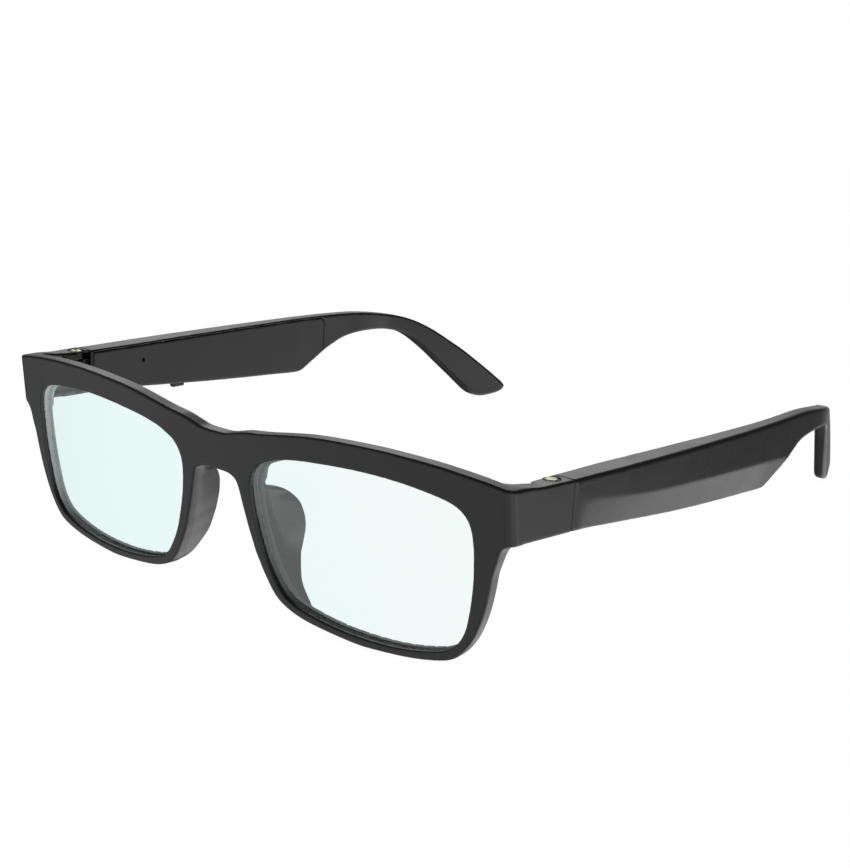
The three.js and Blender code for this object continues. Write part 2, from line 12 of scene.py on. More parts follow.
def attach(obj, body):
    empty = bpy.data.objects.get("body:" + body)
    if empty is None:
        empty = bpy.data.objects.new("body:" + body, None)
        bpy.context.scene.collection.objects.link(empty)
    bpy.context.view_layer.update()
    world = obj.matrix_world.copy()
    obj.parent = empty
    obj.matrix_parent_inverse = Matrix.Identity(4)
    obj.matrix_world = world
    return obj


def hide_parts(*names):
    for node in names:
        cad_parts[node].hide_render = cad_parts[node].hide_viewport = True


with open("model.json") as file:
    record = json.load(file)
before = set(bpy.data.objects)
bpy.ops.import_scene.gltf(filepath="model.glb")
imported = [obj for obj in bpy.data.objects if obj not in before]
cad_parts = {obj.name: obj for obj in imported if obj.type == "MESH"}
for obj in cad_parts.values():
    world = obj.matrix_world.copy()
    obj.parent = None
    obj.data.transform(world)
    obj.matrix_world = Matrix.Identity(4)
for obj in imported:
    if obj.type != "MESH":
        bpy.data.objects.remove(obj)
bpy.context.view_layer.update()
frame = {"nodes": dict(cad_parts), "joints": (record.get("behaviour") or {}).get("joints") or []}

# ------------------------------------------------------------------ the frame's own axes
HINGE = np.array([69.5, 21.8, -6.6])
_fold = [j for j in frame["joints"] if j["name"] == "temple_fold_left"][0]
_ax = np.array(_fold["axis"], float)
PITCH = math.atan2(_ax[1], _ax[2])
_c, _s = math.cos(PITCH), math.sin(PITCH)
TURN = np.array([[1, 0, 0], [0, _c, _s], [0, -_s, _c]])
SHIFT = np.array(_fold["pos_m"], float) * 1000 - TURN @ HINGE


def to_row(p):
    """Points in the frame's own axes, mm, to the row frame, m."""
    return (np.asarray(p, float) @ TURN.T + SHIFT) / 1000


# ------------------------------------------------------------------ shape data (mm)
K, RAKE, THICK = 1 / (2 * 386.3), 0.1312, 3.6
TOP_EDGE = [[0, -3.8], [3.4, -3.7], [6.3, -3.0], [9.3, -2.3], [13.9, -1.7], [19.3, -0.8],
            [24.4, 0.0], [29.5, 0.5], [34.3, 0.75], [39.1, 0.95], [43.8, 1.0], [48.1, 0.85], [52.4, 0.65],
            [56.8, 0.35], [61, -0.1], [65.1, -0.6], [68, -1.05], [70.6, -1.5], [73, -1.9], [78, -2.6]]
LOWER_EDGE = [[78, -12.5], [73, -12.5], [71.2, -12.5], [70.0, -12.85], [69.1, -13.7], [68.55, -14.9], [68.1, -16.7],
              [67.3, -19.1], [66.85, -21.4], [66.35, -23.8], [65.75, -26.2], [65.05, -28.5], [64.2, -30.7], [63.15, -33.0],
              [61.85, -35.1], [60.3, -37.0], [58.5, -38.4], [55.9, -39.4], [51.3, -40.35], [46.9, -40.9],
              [40.8, -41.3], [37.1, -41.4], [33.3, -41.15], [27.3, -40.5], [22.4, -39.7], [18.7, -38.5],
              [16.1, -37.0], [14.4, -35.2], [13.2, -33.3], [12.1, -31.4], [11.1, -29.4], [10.2, -27.5],
              [9.5, -25.4], [8.8, -23.4], [8.2, -21.4], [7.6, -19.3], [7.05, -17.3], [6.55, -15.2],
              [5.9, -13.5], [4.9, -12.7], [3.4, -12.2], [0, -12.1]]
APERTURE = [[12.6, -8.5], [14.6, -7.5], [17.5, -6.4], [22.8, -5.4], [29.5, -4.75], [34.1, -4.45],
            [38.8, -4.3], [43.4, -4.35], [48, -4.6], [52.4, -5.1], [56.7, -5.8], [59.2, -6.5], [61.0, -7.5],
            [62.3, -9.0], [63.0, -10.8], [63.3, -12.7], [63.45, -15], [63.4, -18], [63.3, -20.5],
            [63.1, -22.6], [62.8, -24.9], [62.45, -27], [62.05, -29], [61.5, -31.2], [60.6, -33.3],
            [59.2, -35.2], [57.1, -36.8], [53.5, -38.0], [49, -38.9], [44, -39.45], [39, -39.6],
            [34, -39.45], [29.7, -39.05], [25.5, -38.4], [21.5, -37.5], [18.7, -36.3], [16.8, -34.6],
            [15.3, -32.4], [14, -30.1], [13, -27.8], [12.25, -25.5], [11.6, -23.3], [11.05, -21.2],
            [10.6, -19.1], [10.3, -17], [10.1, -14.7], [10.2, -12.5], [11.0, -10.3]]
# nose pad: [x on the rim, z] and [x, depth, z] of the rear edge
PAD = [[[7.3, -16.6], [10.0, 8.9, -16.3]], [[7.5, -18.2], [11.2, 11.4, -18.0]], [[8.2, -20.9], [12.1, 12.3, -20.6]],
       [[9.2, -24.0], [12.6, 11.9, -23.6]], [[10.3, -27.2], [13.1, 11.3, -26.9]], [[12.0, -30.8], [13.4, 9.8, -31.0]],
       [[13.5, -33.4], [14.4, 8.3, -33.4]], [[15.4, -35.8], [16.1, 6.8, -36.0]], [[18.0, -37.8], [18.4, 4.6, -37.9]]]
TEMPLE_TOP = [[25, -2.1], [32, -2.13], [40, -2.17], [50, -2.2], [60, -2.25], [70, -2.3], [80, -2.35], [90, -2.4],
              [99.2, -2.42], [104, -2.45], [110.4, -2.5], [115.9, -2.6], [120.8, -2.8], [125.4, -3.2], [129.6, -3.7],
              [133.5, -4.25], [137.3, -5.0], [141, -6.2], [144.9, -8.0], [148.6, -10.1], [152.4, -12.6],
              [156.5, -15.3], [160.6, -18.4], [164.7, -21.6], [168.1, -24.4], [170.2, -26.2], [170.95, -27.4],
              [170.2, -28.7]]
TEMPLE_LOW = [[25, -12.4], [32, -13.05], [40, -13.8], [50, -14.7], [60, -15.55], [70, -16.25], [80, -16.85],
              [90, -17.35], [96, -17.68], [99.4, -17.75], [101.1, -17.4], [102.6, -16.6], [104, -15.75], [107, -14.0], [110.4, -12.0],
              [115.7, -9.6], [120.3, -8.7], [124.6, -8.35], [128.3, -8.25], [131.4, -8.35], [134.2, -8.75],
              [137, -9.4], [140, -10.9], [143.1, -13.2], [146.5, -16.2], [150.1, -19.7], [153.7, -23.1],
              [157, -26.3], [159.3, -28.4], [161.3, -29.6], [163.6, -30.15], [166.2, -29.9], [168.6, -29.4]]
OUTER_X = [[25, 73.0], [32, 73.3], [39, 73.7], [46, 73.95], [52, 74.15], [66, 74.4], [88, 74.4],
           [96, 74.2], [103, 73.9], [111, 73.4], [118, 72.8], [124, 72.3], [129, 71.7], [133, 70.8], [138, 68.9],
           [144, 66.3], [150.6, 63.6], [157.3, 60.9], [163.3, 58.5], [168, 56.6], [172, 55.0]]
INNER_X = [[25, 67.7], [40, 68.0], [47, 68.4], [54, 68.75], [61, 69.1], [69, 69.4], [76, 69.8],
           [84, 70.05], [92, 70.25], [99, 70.3], [107, 70.0], [114, 69.5], [118, 69.2], [124, 68.8], [129, 68.1],
           [133, 67.2], [138, 65.3], [144, 62.7], [150.6, 60.0], [157.3, 57.3], [163.3, 54.9], [168, 53.0],
           [172, 51.4]]
CREASE_Z = [[25, -6.6], [30, -6.9], [50, -8.9], [69, -9.8], [90, -10.6], [100, -11.0], [111, -11.6], [120, -11.8]]
CHAMFER = [[25, 0.0], [27, 0.2], [30, 0.62], [35, 1.0], [45, 1.4], [60, 1.65], [94, 1.8], [100, 1.45], [106, 0.62], [110, 0.05], [112, 0.0], [126, 0.0]]
COVER_FRONT, COVER_BACK, COVER_THICK, WALL = 25.9, 108.8, 0.8, 0.8


# ------------------------------------------------------------------ field helpers
def table(rows):
    """A smooth curve through [input, output] rows, for arrays."""
    x = np.array([r[0] for r in rows], float)
    y = np.array([r[1] for r in rows], float)
    m = np.empty_like(y)
    m[1:-1] = (y[2:] - y[:-2]) / (x[2:] - x[:-2])
    m[0], m[-1] = (y[1] - y[0]) / (x[1] - x[0]), (y[-1] - y[-2]) / (x[-1] - x[-2])

    def at(q):
        q = np.clip(np.asarray(q, float), x[0], x[-1])
        i = np.clip(np.searchsorted(x, q, side="right") - 1, 0, len(x) - 2)
        h = x[i + 1] - x[i]
        t = (q - x[i]) / h
        return (y[i] * (2 * t ** 3 - 3 * t ** 2 + 1) + m[i] * h * (t ** 3 - 2 * t ** 2 + t)
                + y[i + 1] * (3 * t ** 2 - 2 * t ** 3) + m[i + 1] * h * (t ** 3 - t ** 2))
    return at


def catmull(points, step, closed=False):
    """Points on a smooth curve through the given ones, about step apart."""
    p = np.array(points, float)
    n = len(p)
    idx = (lambda i: p[i % n]) if closed else (lambda i: p[min(max(i, 0), n - 1)])
    out = []
    for i in range(n if closed else n - 1):
        a, b, c, d = idx(i - 1), idx(i), idx(i + 1), idx(i + 2)
        cells = max(1, int(math.ceil(np.linalg.norm(c - b) / step)))
        for t in np.arange(cells) / cells:
            out.append(0.5 * (2 * b + (c - a) * t + (2 * a - 5 * b + 4 * c - d) * t * t
                              + (3 * b - a - 3 * c + d) * t ** 3))
    if not closed:
        out.append(p[-1])
    return np.array(out)


def polygon_distance(poly, u, v):
    """Signed distance to a closed polygon, below 0 inside."""
    shape = np.broadcast_shapes(np.shape(u), np.shape(v))
    pu, pv = np.broadcast_to(u, shape).ravel(), np.broadcast_to(v, shape).ravel()
    a, b = poly, np.roll(poly, -1, 0)
    out = np.empty(len(pu))
    chunk = max(1, 4_000_000 // len(poly))
    e = b - a
    ee = (e ** 2).sum(1)
    for i in range(0, len(pu), chunk):
        x, y = pu[i:i + chunk, None], pv[i:i + chunk, None]
        wx, wy = x - a[None, :, 0], y - a[None, :, 1]
        t = np.clip((wx * e[:, 0] + wy * e[:, 1]) / ee, 0, 1)
        d2 = ((wx - t * e[:, 0]) ** 2 + (wy - t * e[:, 1]) ** 2).min(1)
        up = (a[None, :, 1] <= y) != (b[None, :, 1] <= y)
        with np.errstate(divide="ignore", invalid="ignore"):
            cross = x < a[None, :, 0] + wy / e[None, :, 1] * e[None, :, 0]
        inside = (up & cross).sum(1) % 2 == 1
        out[i:i + chunk] = np.where(inside, -1, 1) * np.sqrt(d2)
    return out.reshape(shape)


class Flat:
    """A signed distance in a plane, kept on a fine grid and read between its points."""

    def __init__(self, poly, lo, hi, step=0.12):
        self.lo, self.step = np.array(lo, float), step
        n = [int(math.ceil((h - l) / step)) + 1 for l, h in zip(lo, hi)]
        u = lo[0] + np.arange(n[0])[:, None] * step
        v = lo[1] + np.arange(n[1])[None, :] * step
        self.grid = polygon_distance(poly, u, v)

    def __call__(self, u, v):
        u, v = np.broadcast_arrays(u, v)
        x = np.clip((u - self.lo[0]) / self.step, 0, self.grid.shape[0] - 1.001)
        y = np.clip((v - self.lo[1]) / self.step, 0, self.grid.shape[1] - 1.001)
        i, j = x.astype(int), y.astype(int)
        s, t = x - i, y - j
        g = self.grid
        return ((g[i, j] * (1 - s) + g[i + 1, j] * s) * (1 - t)
                + (g[i, j + 1] * (1 - s) + g[i + 1, j + 1] * s) * t)


def both(a, b, r=0.0):
    """Where both hold, with the edge rounded to r."""
    if np.ndim(r) == 0 and r <= 0:
        return np.maximum(a, b)
    return np.minimum(np.maximum(a, b), -r) + np.hypot(np.maximum(a + r, 0), np.maximum(b + r, 0))


def either(a, b, r=0.0):
    return -both(-a, -b, r)


def less(a, b, r=0.0):
    return both(a, -b, r)


def slab(q, lo, hi):
    return np.maximum(lo - q, q - hi)


def surface(field, lo, hi, h):
    """Vertices and outward quads where the field crosses 0, its points drawn onto the surface."""
    lo = np.array(lo, float)
    n = [int(math.ceil((b - a) / h)) + 1 for a, b in zip(lo, hi)]
    ax = [lo[i] + np.arange(n[i]) * h for i in range(3)]
    f = np.empty(n, np.float32)
    rows = max(1, 1_500_000 // (n[1] * n[2]))
    for i in range(0, n[0], rows):
        f[i:i + rows] = field(ax[0][i:i + rows, None, None], ax[1][None, :, None], ax[2][None, None, :])
    inside = f < 0
    corner = inside[:-1, :-1, :-1].astype(np.int8)
    total = np.zeros_like(corner)
    for dx in (0, 1):
        for dy in (0, 1):
            for dz in (0, 1):
                total += inside[dx:n[0] - 1 + dx, dy:n[1] - 1 + dy, dz:n[2] - 1 + dz]
    cells = np.argwhere((total > 0) & (total < 8))
    index = np.full(total.shape, -1, np.int32)
    index[cells[:, 0], cells[:, 1], cells[:, 2]] = np.arange(len(cells))
    acc, cnt = np.zeros((len(cells), 3)), np.zeros(len(cells))
    for axis in range(3):
        for s in (0, 1):
            for t in (0, 1):
                off = [0, 0, 0]
                others = [k for k in range(3) if k != axis]
                off[others[0]], off[others[1]] = s, t
                a = cells + off
                b = a.copy()
                b[:, axis] += 1
                fa, fb = f[a[:, 0], a[:, 1], a[:, 2]], f[b[:, 0], b[:, 1], b[:, 2]]
                hit = (fa < 0) != (fb < 0)
                w = np.where(hit, fa / np.where(hit, fa - fb, 1), 0)
                p = a.astype(float)
                p[:, axis] += w
                acc[hit] += p[hit]
                cnt[hit] += 1
    v = lo + acc / cnt[:, None] * h
    quads = []
    for axis in range(3):
        o = [k for k in range(3) if k != axis]
        a = inside
        sl0, sl1 = [slice(None)] * 3, [slice(None)] * 3
        sl0[axis], sl1[axis] = slice(0, n[axis] - 1), slice(1, n[axis])
        change = a[tuple(sl0)] != a[tuple(sl1)]
        e = np.argwhere(change)
        e = e[(e[:, o[0]] > 0) & (e[:, o[1]] > 0) & (e[:, o[0]] < n[o[0]] - 1) & (e[:, o[1]] < n[o[1]] - 1)]
        c = []
        for d0, d1 in ((-1, -1), (0, -1), (0, 0), (-1, 0)):
            q = e.copy()
            q[:, o[0]] += d0
            q[:, o[1]] += d1
            c.append(index[q[:, 0], q[:, 1], q[:, 2]])
        c = np.stack(c, 1)
        first = inside[e[:, 0], e[:, 1], e[:, 2]]
        # o = (y, z), (x, z), (x, y): the loop turns the right way for axis 0 and 2, and the other for 1
        turn = first if axis != 1 else ~first
        c[~turn] = c[~turn][:, ::-1]
        quads.append(c)
    quads = np.concatenate(quads)
    quads = quads[(quads >= 0).all(1)]

    def at(p):
        return field(p[:, 0], p[:, 1], p[:, 2])
    eps = h * 0.12
    start = v.copy()
    for _ in range(3):
        g = np.stack([(at(v + d) - at(v - d)) / (2 * eps) for d in np.eye(3) * eps], 1)
        gg = np.maximum((g ** 2).sum(1), 0.05)
        step = -(at(v) / gg)[:, None] * g
        size = np.linalg.norm(step, axis=1, keepdims=True)
        step *= np.minimum(1, 0.5 * h / np.maximum(size, 1e-9))
        v = start + np.clip(v + step - start, -0.9 * h, 0.9 * h)
    return v, quads


def mesh_object(name, verts, faces, flip=False, smooth=True):
    """A mesh in the row frame from points in the frame's own axes."""
    v = to_row(verts)
    if flip:
        v = v * [-1, 1, 1]
        faces = [list(f)[::-1] for f in faces] if not isinstance(faces, np.ndarray) else faces[:, ::-1]
    me = bpy.data.meshes.new(name)
    faces = np.asarray(faces)
    me.vertices.add(len(v))
    me.vertices.foreach_set("co", v.astype(np.float32).ravel())
    k = faces.shape[1]
    me.loops.add(faces.size)
    me.loops.foreach_set("vertex_index", faces.astype(np.int32).ravel())
    me.polygons.add(len(faces))
    me.polygons.foreach_set("loop_start", (np.arange(len(faces)) * k).astype(np.int32))
    me.polygons.foreach_set("loop_total", np.full(len(faces), k, np.int32))
    me.update(calc_edges=True)
    me.validate()
    if smooth:
        me.polygons.foreach_set("use_smooth", np.ones(len(me.polygons), bool))
    ob = bpy.data.objects.new(name, me)
    bpy.context.scene.collection.objects.link(ob)
    return ob


def loose_ends(ob):
    """Keeps the largest connected piece, so that no stray specks are left."""
    bm = bmesh.new()
    bm.from_mesh(ob.data)
    bm.verts.ensure_lookup_table()
    seen, groups = set(), []
    for v in bm.verts:
        if v.index in seen:
            continue
        stack, group = [v], []
        seen.add(v.index)
        while stack:
            w = stack.pop()
            group.append(w)
            for e in w.link_edges:
                o = e.other_vert(w)
                if o.index not in seen:
                    seen.add(o.index)
                    stack.append(o)
        groups.append(group)
    groups.sort(key=len)
    for g in groups[:-1]:
        bmesh.ops.delete(bm, geom=g, context="VERTS")
    if len(groups) > 1:
        bm.to_mesh(ob.data)
    bm.free()
    return len(groups)


# ------------------------------------------------------------------ materials
def material(name):
    m = bpy.data.materials.new(name)
    m.use_nodes = True
    nt = m.node_tree
    return m, nt, nt.nodes["Principled BSDF"], nt.nodes, nt.links


def satin_plastic(name, base, rough, grain=0.5, spec=0.5, seed=0.0, coat=0.0):
    """Moulded black plastic: a fine spark-eroded grain, slow colour drift and soft handling marks."""
    m, nt, b, n, l = material(name)
    tc = n.new("ShaderNodeTexCoord")
    mp = n.new("ShaderNodeMapping")
    mp.inputs["Location"].default_value = (seed, seed * 0.7, seed * 1.3)
    l.new(tc.outputs["Object"], mp.inputs["Vector"])
    drift = n.new("ShaderNodeTexNoise")
    drift.inputs["Scale"].default_value = 60
    drift.inputs["Detail"].default_value = 3
    l.new(mp.outputs[0], drift.inputs["Vector"])
    ramp = n.new("ShaderNodeValToRGB")
    ramp.color_ramp.elements[0].position, ramp.color_ramp.elements[1].position = 0.3, 0.72
    ramp.color_ramp.elements[0].color = (*[c * 0.88 for c in base], 1)
    ramp.color_ramp.elements[1].color = (*[c * 1.14 for c in base], 1)
    l.new(drift.outputs["Fac"], ramp.inputs["Fac"])
    speck = n.new("ShaderNodeTexNoise")
    speck.inputs["Scale"].default_value = 5200
    speck.inputs["Detail"].default_value = 2
    l.new(mp.outputs[0], speck.inputs["Vector"])
    mix = n.new("ShaderNodeMix")
    mix.data_type, mix.blend_type = "RGBA", "MULTIPLY"
    mix.inputs["Factor"].default_value = 0.18
    l.new(ramp.outputs["Color"], mix.inputs["A"])
    l.new(speck.outputs["Fac"], mix.inputs["B"])
    l.new(mix.outputs["Result"], b.inputs["Base Color"])
    wear = n.new("ShaderNodeTexNoise")
    wear.inputs["Scale"].default_value = 130
    wear.inputs["Detail"].default_value = 5
    wear.inputs["Roughness"].default_value = 0.65
    l.new(mp.outputs[0], wear.inputs["Vector"])
    mr = n.new("ShaderNodeMapRange")
    mr.inputs["From Min"].default_value, mr.inputs["From Max"].default_value = 0.3, 0.7
    mr.inputs["To Min"].default_value, mr.inputs["To Max"].default_value = rough - 0.035, rough + 0.035
    l.new(wear.outputs["Fac"], mr.inputs["Value"])
    l.new(mr.outputs["Result"], b.inputs["Roughness"])
    bump = n.new("ShaderNodeBump")
    bump.inputs["Strength"].default_value = 0.13 * grain
    bump.inputs["Distance"].default_value = 0.00004
    l.new(speck.outputs["Fac"], bump.inputs["Height"])
    l.new(bump.outputs["Normal"], b.inputs["Normal"])
    b.inputs["Specular IOR Level"].default_value = spec
    b.inputs["IOR"].default_value = 1.5
    if coat:
        b.inputs["Coat Weight"].default_value = coat
        b.inputs["Coat Roughness"].default_value = 0.25
    return m


def metal(name, colour, rough, brushed=0.0, variation=0.12, scale=900.0):
    m, nt, b, n, l = material(name)
    tc = n.new("ShaderNodeTexCoord")
    mp = n.new("ShaderNodeMapping")
    mp.inputs["Scale"].default_value = (1, 1, 1 - 0.93 * brushed)
    l.new(tc.outputs["Object"], mp.inputs["Vector"])
    t = n.new("ShaderNodeTexNoise")
    t.inputs["Scale"].default_value = scale
    t.inputs["Detail"].default_value = 4
    l.new(mp.outputs[0], t.inputs["Vector"])
    ramp = n.new("ShaderNodeValToRGB")
    ramp.color_ramp.elements[0].position, ramp.color_ramp.elements[1].position = 0.3, 0.7
    ramp.color_ramp.elements[0].color = (*[c * (1 - variation) for c in colour], 1)
    ramp.color_ramp.elements[1].color = (*[min(1, c * (1 + variation)) for c in colour], 1)
    l.new(t.outputs["Fac"], ramp.inputs["Fac"])
    l.new(ramp.outputs["Color"], b.inputs["Base Color"])
    mr = n.new("ShaderNodeMapRange")
    mr.inputs["To Min"].default_value, mr.inputs["To Max"].default_value = max(0.03, rough - 0.08), rough + 0.08
    l.new(t.outputs["Fac"], mr.inputs["Value"])
    l.new(mr.outputs["Result"], b.inputs["Roughness"])
    b.inputs["Metallic"].default_value = 1
    bump = n.new("ShaderNodeBump")
    bump.inputs["Strength"].default_value = 0.15
    bump.inputs["Distance"].default_value = 0.00002
    l.new(t.outputs["Fac"], bump.inputs["Height"])
    l.new(bump.outputs["Normal"], b.inputs["Normal"])
    return m


def board_material():
    """Green solder mask with a faint pattern of tracks and pads."""
    m, nt, b, n, l = material("solder_mask")
    tc = n.new("ShaderNodeTexCoord")
    brick = n.new("ShaderNodeTexBrick")
    brick.inputs["Scale"].default_value = 420
    brick.inputs["Mortar Size"].default_value = 0.06
    brick.inputs["Color1"].default_value = (0.012, 0.075, 0.035, 1)
    brick.inputs["Color2"].default_value = (0.016, 0.10, 0.05, 1)
    brick.inputs["Mortar"].default_value = (0.03, 0.17, 0.08, 1)
    mp = n.new("ShaderNodeMapping")
    mp.inputs["Rotation"].default_value = (0, math.pi / 2, 0)
    l.new(tc.outputs["Object"], mp.inputs["Vector"])
    l.new(mp.outputs[0], brick.inputs["Vector"])
    l.new(brick.outputs["Color"], b.inputs["Base Color"])
    b.inputs["Roughness"].default_value = 0.35
    return m


def lens_material():
    """Clear hard-coated lens: lets the light straight through with a faint cyan, and reflects at its faces."""
    m, nt, b, n, l = material("lens_clear")
    n.remove(b)
    out = n["Material Output"]
    tr = n.new("ShaderNodeBsdfTransparent")
    lw = n.new("ShaderNodeLayerWeight")
    lw.inputs["Blend"].default_value = 0.5
    tint = n.new("ShaderNodeValToRGB")
    tint.color_ramp.elements[0].position, tint.color_ramp.elements[1].position = 0.2, 0.42
    tint.color_ramp.elements[0].color = (0.965, 1.0, 0.99, 1)
    tint.color_ramp.elements[1].color = (0.922, 1.0, 0.99, 1)
    l.new(lw.outputs["Facing"], tint.inputs["Fac"])
    l.new(tint.outputs["Color"], tr.inputs["Color"])
    gl = n.new("ShaderNodeBsdfGlossy")
    gl.inputs["Color"].default_value = (0.93, 1.0, 0.985, 1)
    gl.inputs["Roughness"].default_value = 0.03
    fr = n.new("ShaderNodeFresnel")
    fr.inputs["IOR"].default_value = 2.2
    geo = n.new("ShaderNodeNewGeometry")
    back = n.new("ShaderNodeMath")
    back.operation = "SUBTRACT"
    back.inputs[0].default_value = 1
    l.new(geo.outputs["Backfacing"], back.inputs[1])
    mul = n.new("ShaderNodeMath")
    mul.operation = "MULTIPLY"
    l.new(fr.outputs[0], mul.inputs[0])
    l.new(back.outputs[0], mul.inputs[1])
    mix = n.new("ShaderNodeMixShader")
    l.new(mul.outputs[0], mix.inputs["Fac"])
    l.new(tr.outputs[0], mix.inputs[1])
    l.new(gl.outputs[0], mix.inputs[2])
    l.new(mix.outputs[0], out.inputs["Surface"])
    return m


def seat_painted_light_material():
    """The wall of the lens opening, painted with light and shade: pale where it faces in from the temple side, as if
    lit, and greyer at the nose, as painted shade.
    """
    m, nt, b, n, l = material("lens_seat_painted_light")
    tc = n.new("ShaderNodeTexCoord")
    sep = n.new("ShaderNodeSeparateXYZ")
    l.new(tc.outputs["Object"], sep.inputs[0])
    ab = n.new("ShaderNodeMath")
    ab.operation = "ABSOLUTE"
    l.new(sep.outputs["X"], ab.inputs[0])
    mr = n.new("ShaderNodeMapRange")
    mr.inputs["From Min"].default_value, mr.inputs["From Max"].default_value = 0.016, 0.058
    l.new(ab.outputs[0], mr.inputs["Value"])
    t = n.new("ShaderNodeTexNoise")
    t.inputs["Scale"].default_value = 700
    l.new(tc.outputs["Object"], t.inputs["Vector"])
    ramp = n.new("ShaderNodeValToRGB")
    # Painted light and shade: near black at the nose end, pale grey towards the temple where the wall looks lit.
    ramp.color_ramp.elements[0].color = (0.09, 0.092, 0.092, 1)
    ramp.color_ramp.elements[1].color = (0.62, 0.64, 0.64, 1)
    l.new(mr.outputs["Result"], ramp.inputs["Fac"])
    mix = n.new("ShaderNodeMix")
    mix.data_type, mix.blend_type = "RGBA", "MULTIPLY"
    mix.inputs["Factor"].default_value = 0.15
    l.new(ramp.outputs["Color"], mix.inputs["A"])
    l.new(t.outputs["Fac"], mix.inputs["B"])
    l.new(mix.outputs["Result"], b.inputs["Base Color"])
    b.inputs["Roughness"].default_value = 0.6
    bump = n.new("ShaderNodeBump")
    bump.inputs["Strength"].default_value = 0.1
    bump.inputs["Distance"].default_value = 0.00003
    l.new(t.outputs["Fac"], bump.inputs["Height"])
    l.new(bump.outputs["Normal"], b.inputs["Normal"])
    return m


BLACK = satin_plastic("frame_satin_black", (0.0145, 0.0145, 0.0152), 0.285, seed=0.0)
COVER = satin_plastic("cover_matte_black", (0.030, 0.030, 0.031), 0.5, seed=0.31)
BUTTON = satin_plastic("button_black", (0.017, 0.017, 0.018), 0.38, grain=0.3, seed=0.62)
GRILLE = metal("grille_black_steel", (0.045, 0.045, 0.048), 0.42)
# Painted shade: the brass hinge leaves are coloured near-black olive, as the shade in their recess.
HINGE_BRASS_SHADED = metal("hinge_bronze", (0.036, 0.035, 0.030), 0.42)
GOLD = metal("pin_pale_gold", (0.90, 0.90, 0.66), 0.3, variation=0.05)
CONTACT = metal("contact_gold", (0.88, 0.72, 0.36), 0.2, variation=0.05)
STEEL = metal("plain_steel", (0.55, 0.55, 0.54), 0.32, brushed=1)
FOIL = metal("battery_foil", (0.66, 0.68, 0.70), 0.36, variation=0.08, scale=350)
SPEAKER = metal("speaker_painted_can", (0.06, 0.06, 0.065), 0.5)
BOARD = board_material()
LENS = lens_material()


def ground_edge():
    """The ground rim of a lens: fine matt scratches, a little cyan; pale at the temple side and darker towards the nose
    as painted shade.
    """
    m, nt, b, n, l = material("lens_ground_edge")
    tc = n.new("ShaderNodeTexCoord")
    t = n.new("ShaderNodeTexNoise")
    t.inputs["Scale"].default_value = 1600
    t.inputs["Detail"].default_value = 5
    l.new(tc.outputs["Object"], t.inputs["Vector"])
    ramp = n.new("ShaderNodeValToRGB")
    ramp.color_ramp.elements[0].position, ramp.color_ramp.elements[1].position = 0.3, 0.7
    ramp.color_ramp.elements[0].color = (0.84, 0.84, 0.84, 1)
    ramp.color_ramp.elements[1].color = (1.0, 1.0, 1.0, 1)
    l.new(t.outputs["Fac"], ramp.inputs["Fac"])
    sep = n.new("ShaderNodeSeparateXYZ")
    l.new(tc.outputs["Object"], sep.inputs[0])
    ab = n.new("ShaderNodeMath")
    ab.operation = "ABSOLUTE"
    l.new(sep.outputs["X"], ab.inputs[0])
    across = n.new("ShaderNodeMapRange")
    across.inputs["From Min"].default_value, across.inputs["From Max"].default_value = 0.018, 0.056
    l.new(ab.outputs[0], across.inputs["Value"])
    # Partly real, partly painted shade: the rim's own pale tone, darkened towards the nose.
    edge_pale_and_painted_shade = n.new("ShaderNodeValToRGB")
    edge_pale_and_painted_shade.color_ramp.elements[0].color = (0.36, 0.345, 0.34, 1)
    edge_pale_and_painted_shade.color_ramp.elements[1].color = (0.95, 0.89, 0.88, 1)
    l.new(across.outputs["Result"], edge_pale_and_painted_shade.inputs["Fac"])
    mul = n.new("ShaderNodeMix")
    mul.data_type, mul.blend_type = "RGBA", "MULTIPLY"
    mul.inputs["Factor"].default_value = 1
    l.new(edge_pale_and_painted_shade.outputs["Color"], mul.inputs["A"])
    l.new(ramp.outputs["Color"], mul.inputs["B"])
    l.new(mul.outputs["Result"], b.inputs["Base Color"])
    b.inputs["Roughness"].default_value = 0.65
    bump = n.new("ShaderNodeBump")
    bump.inputs["Strength"].default_value = 0.2
    bump.inputs["Distance"].default_value = 0.00003
    l.new(t.outputs["Fac"], bump.inputs["Height"])
    l.new(bump.outputs["Normal"], b.inputs["Normal"])
    return m


LENS_EDGE = ground_edge()


def paint(ob, mat):
    ob.data.materials.clear()
    ob.data.materials.append(mat)
    return ob


# ------------------------------------------------------------------ front frame
aperture_poly = catmull(APERTURE, 0.8, closed=True)
top_poly, low_poly = catmull(TOP_EDGE, 0.8), catmull(LOWER_EDGE, 0.6)
mirror = lambda p: (p * [-1, 1])[::-1]
outline_poly = np.concatenate([top_poly, low_poly[:-1], mirror(low_poly), mirror(top_poly)[:-1]])
outline = Flat(outline_poly, (-1, -44), (79, 4))
aperture = Flat(aperture_poly, (4, -44), (72, 2))
pad_e = table([[-z, x] for (x, z), _ in PAD])
pad_slope = table([[-z, (r[0] - x) / (r[1] - 2.2)] for (x, z), r in PAD])
pad_cos = table([[-PAD[i][0][1], 1 / math.hypot(1, (PAD[min(i + 1, 8)][0][0] - PAD[max(i - 1, 0)][0][0]) /
                                               (PAD[max(i - 1, 0)][0][1] - PAD[min(i + 1, 8)][0][1]))] for i in range(9)])
pad_rear = table([[-z, r[0] + (1.3 if z > -26 else 0.85)] for (x, z), r in PAD])
pad_depth = table([[-z, r[1]] for (x, z), r in PAD])
pad_wall = table([[8, 12.9], [9.4, 11.7], [10.8, 10.9], [12.5, 10.3], [14.7, 10.2], [17, 10.35], [19.1, 10.65], [21.2, 11.1], [23.3, 11.65],
                  [25.5, 12.3], [27.8, 13.1], [30.1, 14.1], [32.4, 15.35], [34.6, 16.9], [36.3, 18.9], [39, 23]])
pad_bend = table([[14, 4.6], [18, 5.1], [24, 5.6], [29, 5.8], [34, 5.6], [39, 5.0]])
